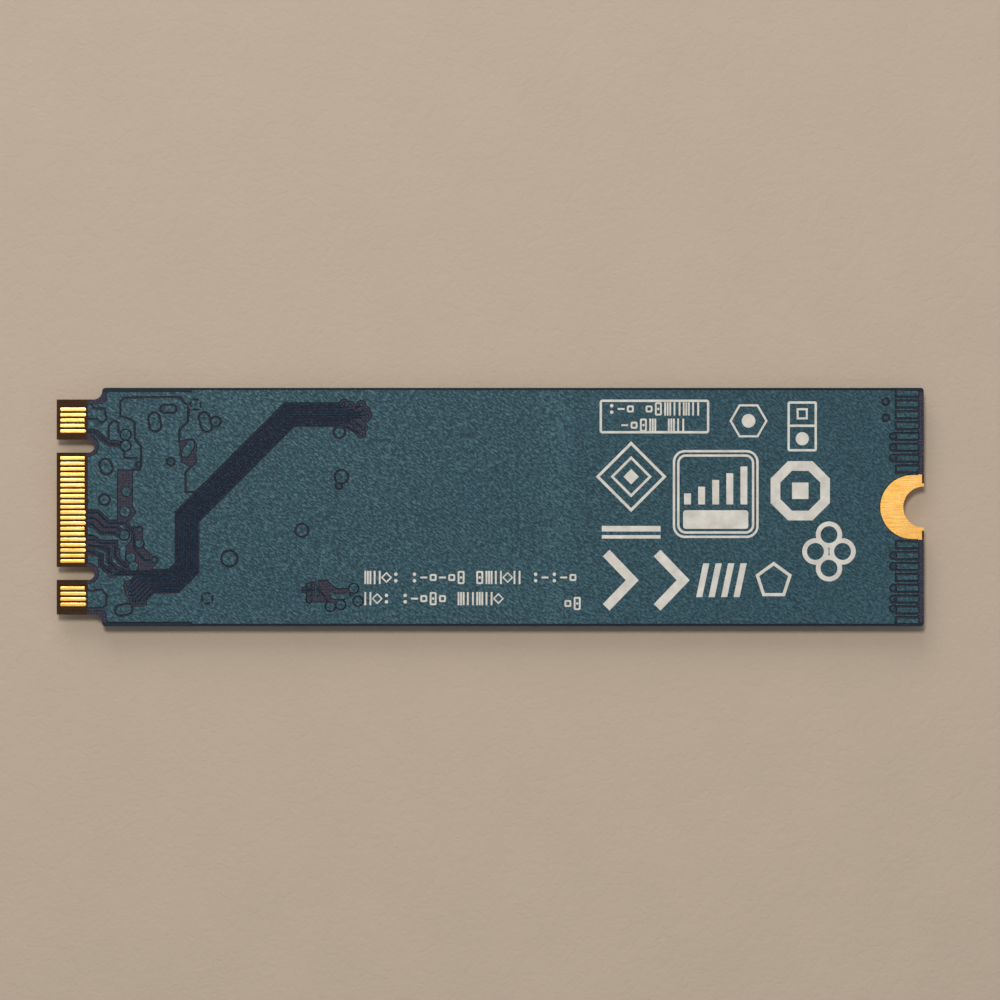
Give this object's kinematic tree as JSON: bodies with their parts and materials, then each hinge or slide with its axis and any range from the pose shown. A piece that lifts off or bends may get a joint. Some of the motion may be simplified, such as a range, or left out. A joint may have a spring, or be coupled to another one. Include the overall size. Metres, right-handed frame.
{
  "type": "solid state drive",
  "caption": "Bare M.2 2280 solid state drive card: keyed edge contacts at one end, half-round screw notch at the other, chips and label on one face.",
  "frame": {"origin": "middle of the card's outline, on the plane that the label's outer face rests on", "axes": "+X from the contacts towards the screw notch, +Y towards the key B slot side, +Z from the label face up to the printed bare back"},
  "size_m": [0.08, 0.022, 0.0022],
  "materials": {
    "laminate": "glass laminate, bare edge",
    "inner_copper": "plain copper",
    "covered_copper": "copper under solder mask",
    "contact_gold": "gold plated, finely scratched",
    "solder_mask": "satin blue-green mask",
    "print_ink": "screen printed ink",
    "chip_mould": "moulded epoxy",
    "chip_substrate": "masked laminate",
    "silicon": "polished silicon",
    "solder": "reflowed solder",
    "tinned_metal": "matt tin plate",
    "capacitor_ceramic": "fired ceramic",
    "dark_ceramic": "dark glazed ceramic",
    "pale_ceramic": "pale ceramic",
    "inductor_core": "pressed iron powder",
    "winding_copper": "enamelled copper",
    "lid_steel": "plated lid",
    "label_film": "printed film",
    "label_adhesive": "clear adhesive"
  },
  "bodies": {
    "root": {"edge_plating": "contact_gold", "laminate_core": "laminate", "laminate_back_layer": "laminate", "laminate_front_layer": "laminate", "inner_ground_plane": "inner_copper", "inner_power_plane": "inner_copper", "via_barrels": "inner_copper", "back_ground_pour": "covered_copper", "back_bus_traces": "covered_copper", "back_signal_traces": "covered_copper", "back_via_lands": "covered_copper", "back_covered_pads": "covered_copper", "front_ground_pour": "covered_copper", "back_contacts": "contact_gold", "front_contacts": "contact_gold", "back_screw_land": "contact_gold", "front_screw_land": "contact_gold", "front_pads": "contact_gold", "power_chip_leads": "contact_gold", "back_solder_mask": "solder_mask", "front_solder_mask": "solder_mask", "back_printed_marks": "print_ink", "controller_mould": "chip_mould", "memory_mould": "chip_mould", "flash_a_mould": "chip_mould", "flash_b_mould": "chip_mould", "power_chip_body": "chip_mould", "load_switch_body": "chip_mould", "controller_substrate": "chip_substrate", "memory_substrate": "chip_substrate", "flash_a_substrate": "chip_substrate", "flash_b_substrate": "chip_substrate", "controller_dies": "silicon", "memory_dies": "silicon", "flash_a_dies": "silicon", "flash_b_dies": "silicon", "controller_balls": "solder", "memory_balls": "solder", "flash_a_balls": "solder", "flash_b_balls": "solder", "solder_fillets": "solder", "large_capacitor_caps": "tinned_metal", "small_capacitor_caps": "tinned_metal", "resistor_caps": "tinned_metal", "fuse_caps": "tinned_metal", "inductor_terminals": "tinned_metal", "load_switch_leads": "tinned_metal", "large_capacitor_bodies": "capacitor_ceramic", "small_capacitor_bodies": "capacitor_ceramic", "resistor_bodies": "dark_ceramic", "crystal_base": "dark_ceramic", "fuse_body": "pale_ceramic", "inductor_cores": "inductor_core", "inductor_windings": "winding_copper", "crystal_lid": "lid_steel", "label_film": "label_film", "label_adhesive": "label_adhesive"}
  },
  "joints": []
}
